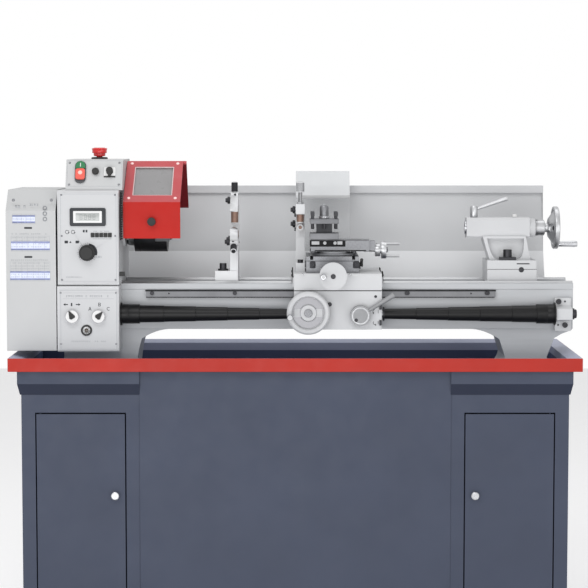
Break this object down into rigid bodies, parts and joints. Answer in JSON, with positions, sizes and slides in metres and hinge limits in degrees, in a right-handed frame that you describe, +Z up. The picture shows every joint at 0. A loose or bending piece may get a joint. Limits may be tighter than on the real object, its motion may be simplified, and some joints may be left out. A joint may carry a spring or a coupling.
{
  "type": "manual bench lathe on a stand",
  "caption": "Bench lathe with chuck and guard, carriage, rests, tailstock and splash guard, on a two-cabinet stand with a red-edged chip tray.",
  "frame": {"origin": "on the floor under the middle of the machine", "axes": "+X along the bed from headstock to tailstock, +Y away from the operator, +Z up"},
  "size_m": [1.479, 0.49, 1.285],
  "materials": {
    "stand_blue": "satin paint",
    "tray_red": "red band over a blue-grey pan",
    "machine_grey": "light grey paint",
    "bed_grey": "grey paint with ground ways",
    "steel": "ground steel",
    "dark_steel": "dark steel",
    "chrome": "polished",
    "black_oxide": "blackened",
    "panel_print": "printed plate",
    "guard_red": "red paint",
    "window": "clear plastic",
    "red_plastic": "gloss",
    "green_plastic": "gloss",
    "black_plastic": "matte",
    "aluminium": "turned",
    "rest_white": "white paint",
    "belt_rubber": "matte",
    "iron_grey": "light grey paint"
  },
  "bodies": {
    "machine": {"left_cabinet": "stand_blue", "right_cabinet": "stand_blue", "stand_panels": "stand_blue", "chip_tray": "tray_red", "bed": "bed_grey", "feed_rack": "steel", "splash_guard": "machine_grey", "headstock": "iron_grey", "spindle_bearings": "steel", "control_panel": "panel_print", "feed_gearbox": "iron_grey", "feed_panel": "panel_print", "switch_box": "machine_grey", "leadscrew_bracket": "iron_grey", "motor": "dark_steel", "drive_belt": "belt_rubber", "machine_screws": "black_oxide", "leadscrew_cover_left": "black_oxide", "leadscrew_cover_right": "black_oxide"},
    "gear_cover": {"gear_cover": "machine_grey"},
    "left_door": {"left_door": "stand_blue"},
    "right_door": {"right_door": "stand_blue"},
    "chuck_guard": {"chuck_guard": "guard_red", "guard_window": "window"},
    "spindle": {"spindle": "steel", "chuck_body": "dark_steel", "spindle_pulley": "aluminium"},
    "jaw_1": {"chuck_jaw_1": "steel"},
    "jaw_2": {"chuck_jaw_2": "steel"},
    "jaw_3": {"chuck_jaw_3": "steel"},
    "motor_pulley": {"motor_pulley": "aluminium"},
    "idler_gear": {"idler_gear": "steel"},
    "leadscrew": {"leadscrew": "steel"},
    "emergency_stop": {"emergency_stop": "red_plastic"},
    "start_button": {"start_button": "green_plastic"},
    "stop_button": {"stop_button": "red_plastic"},
    "jog_button": {"jog_button": "black_plastic"},
    "direction_switch": {"direction_switch": "black_plastic"},
    "speed_knob": {"speed_knob": "black_plastic"},
    "feed_direction_knob": {"feed_direction_knob": "aluminium"},
    "feed_range_knob": {"feed_range_knob": "aluminium"},
    "carriage": {"saddle": "iron_grey", "apron": "iron_grey", "follow_rest": "rest_white", "chip_shield": "window"},
    "carriage_handwheel": {"carriage_handwheel": "chrome"},
    "half_nut_lever": {"half_nut_lever": "chrome"},
    "cross_slide": {"cross_slide": "steel"},
    "cross_slide_crank": {"cross_slide_crank": "chrome"},
    "compound_base": {"compound_base": "steel"},
    "top_slide": {"top_slide": "steel"},
    "top_slide_crank": {"top_slide_crank": "chrome"},
    "tool_post": {"tool_post": "dark_steel"},
    "tool_post_lever": {"tool_post_lever": "chrome"},
    "steady_rest": {"steady_rest": "rest_white"},
    "tailstock": {"tailstock_base": "iron_grey", "tailstock_body": "iron_grey"},
    "quill": {"quill": "chrome"},
    "tailstock_handwheel": {"tailstock_handwheel": "chrome"},
    "quill_lock_lever": {"quill_lock_lever": "chrome"}
  },
  "joints": [
    {"name": "gear_cover_swing", "type": "hinge", "parent": "machine", "child": "gear_cover", "pos_m": [-0.607, 0.158, 1], "axis": [0, 0, -1], "range_deg": [0, 100]},
    {"name": "left_door_swing", "type": "hinge", "parent": "machine", "child": "left_door", "pos_m": [-0.647, -0.216, 0.35], "axis": [0, 0, -1], "range_deg": [0, 100]},
    {"name": "right_door_swing", "type": "hinge", "parent": "machine", "child": "right_door", "pos_m": [0.647, -0.216, 0.35], "axis": [0, 0, 1], "range_deg": [0, 100]},
    {"name": "chuck_guard_swing", "type": "hinge", "parent": "machine", "child": "chuck_guard", "pos_m": [-0.43, 0.105, 1.195], "axis": [-1, 0, 0], "range_deg": [0, 90]},
    {"name": "spindle_spin", "type": "hinge", "parent": "machine", "child": "spindle", "pos_m": [-0.45, 0, 1.075], "axis": [1, 0, 0], "continuous": true},
    {"name": "jaw_1_slide", "type": "slide", "parent": "spindle", "child": "jaw_1", "axis": [0, 0, 1], "range_m": [-0.01, 0.005]},
    {"name": "jaw_2_slide", "type": "slide", "parent": "spindle", "child": "jaw_2", "axis": [0, -0.866, -0.5], "range_m": [-0.01, 0.005]},
    {"name": "jaw_3_slide", "type": "slide", "parent": "spindle", "child": "jaw_3", "axis": [0, 0.866, -0.5], "range_m": [-0.01, 0.005]},
    {"name": "motor_pulley_spin", "type": "hinge", "parent": "machine", "child": "motor_pulley", "pos_m": [-0.65, 0.084, 1], "axis": [1, 0, 0], "continuous": true},
    {"name": "idler_gear_spin", "type": "hinge", "parent": "machine", "child": "idler_gear", "pos_m": [-0.626, -0.05855, 0.96913], "axis": [1, 0, 0], "continuous": true},
    {"name": "leadscrew_spin", "type": "hinge", "parent": "machine", "child": "leadscrew", "pos_m": [0, -0.12, 0.858], "axis": [1, 0, 0], "continuous": true},
    {"name": "emergency_stop_press", "type": "slide", "parent": "machine", "child": "emergency_stop", "axis": [0, 0, -1], "range_m": [0, 0.004], "stiffness_N_per_m": 400, "springref_m": -0.002},
    {"name": "start_press", "type": "slide", "parent": "machine", "child": "start_button", "axis": [0, 0.9205, -0.3907], "range_m": [0, 0.002], "stiffness_N_per_m": 400, "springref_m": -0.002},
    {"name": "stop_press", "type": "slide", "parent": "machine", "child": "stop_button", "axis": [0, 0.9205, -0.3907], "range_m": [0, 0.002], "stiffness_N_per_m": 400, "springref_m": -0.002},
    {"name": "jog_press", "type": "slide", "parent": "machine", "child": "jog_button", "axis": [0, 0.9205, -0.3907], "range_m": [0, 0.003], "stiffness_N_per_m": 400, "springref_m": -0.002},
    {"name": "direction_turn", "type": "hinge", "parent": "machine", "child": "direction_switch", "pos_m": [-0.474, -0.1332, 1.22358], "axis": [0, -0.9205, 0.3907], "range_deg": [-60, 60]},
    {"name": "speed_turn", "type": "hinge", "parent": "machine", "child": "speed_knob", "pos_m": [-0.53, -0.17, 1.018], "axis": [0, -1, 0], "range_deg": [-135, 135]},
    {"name": "feed_direction_turn", "type": "hinge", "parent": "machine", "child": "feed_direction_knob", "pos_m": [-0.569, -0.17, 0.856], "axis": [0, -1, 0], "range_deg": [-45, 45]},
    {"name": "feed_range_turn", "type": "hinge", "parent": "machine", "child": "feed_range_knob", "pos_m": [-0.502, -0.17, 0.856], "axis": [0, -1, 0], "range_deg": [-45, 45]},
    {"name": "carriage_slide", "type": "slide", "parent": "machine", "child": "carriage", "axis": [1, 0, 0], "range_m": [-0.12, 0.17], "deforming": ["leadscrew_cover_left", "leadscrew_cover_right"]},
    {"name": "carriage_wheel_turn", "type": "hinge", "parent": "carriage", "child": "carriage_handwheel", "pos_m": [0.0336, -0.17, 0.8646], "axis": [0, 1, 0], "continuous": true},
    {"name": "half_nut_turn", "type": "hinge", "parent": "carriage", "child": "half_nut_lever", "pos_m": [0.1667, -0.16, 0.857], "axis": [0, 1, 0], "range_deg": [0, 35]},
    {"name": "cross_crank_turn", "type": "hinge", "parent": "carriage", "child": "cross_slide_crank", "pos_m": [0.096, -0.17, 0.961], "axis": [0, 1, 0], "range_deg": [-3240, 4590]},
    {"name": "cross_slide_travel", "type": "slide", "parent": "carriage", "child": "cross_slide", "axis": [0, 1, 0], "range_m": [-0.035, 0.05]},
    {"name": "compound_swivel", "type": "hinge", "parent": "cross_slide", "child": "compound_base", "pos_m": [0.1, -0.02, 1], "axis": [0, 0, 1], "range_deg": [-45, 30]},
    {"name": "top_slide_travel", "type": "slide", "parent": "compound_base", "child": "top_slide", "axis": [1, 0, 0], "range_m": [0, 0.05]},
    {"name": "top_crank_turn", "type": "hinge", "parent": "top_slide", "child": "top_slide_crank", "pos_m": [0.22, -0.02, 1.0176], "axis": [1, 0, 0], "range_deg": [-90, 4590]},
    {"name": "tool_post_index", "type": "hinge", "parent": "top_slide", "child": "tool_post", "pos_m": [0.076, -0.02, 1.07], "axis": [0, 0, 1], "continuous": true},
    {"name": "tool_post_clamp", "type": "hinge", "parent": "top_slide", "child": "tool_post_lever", "pos_m": [0.076, -0.02, 1.11], "axis": [0, 0, 1], "range_deg": [-60, 45]},
    {"name": "steady_slide", "type": "slide", "parent": "machine", "child": "steady_rest", "axis": [1, 0, 0], "range_m": [-0.09, 0.05]},
    {"name": "tailstock_slide", "type": "slide", "parent": "machine", "child": "tailstock", "axis": [1, 0, 0], "range_m": [-0.15, 0.06]},
    {"name": "tail_wheel_turn", "type": "hinge", "parent": "tailstock", "child": "tailstock_handwheel", "pos_m": [0.66, 0, 1.075], "axis": [-1, 0, 0], "range_deg": [0, 5400]},
    {"name": "quill_travel", "type": "slide", "parent": "tailstock", "child": "quill", "axis": [-1, 0, 0], "range_m": [0, 0.0601]},
    {"name": "quill_lock_turn", "type": "hinge", "parent": "tailstock", "child": "quill_lock_lever", "pos_m": [0.47, 0, 1.11], "axis": [0, 0, 1], "range_deg": [-40, 40]}
  ],
  "couplings": [
    {"joint": "jaw_2_slide", "follows": "jaw_1_slide", "ratio": 1},
    {"joint": "jaw_3_slide", "follows": "jaw_1_slide", "ratio": 1},
    {"joint": "motor_pulley_spin", "follows": "spindle_spin", "ratio": 2},
    {"joint": "idler_gear_spin", "follows": "spindle_spin", "ratio": -0.33333},
    {"joint": "leadscrew_spin", "follows": "spindle_spin", "ratio": 0.83333},
    {"joint": "carriage_wheel_turn", "follows": "carriage_slide", "rad_per_m": 322},
    {"joint": "cross_crank_turn", "follows": "cross_slide_travel", "rad_per_m": 1570.8},
    {"joint": "top_crank_turn", "follows": "top_slide_travel", "rad_per_m": 1570.8},
    {"joint": "quill_travel", "follows": "tail_wheel_turn", "m_per_rad": 0.00063662}
  ]
}
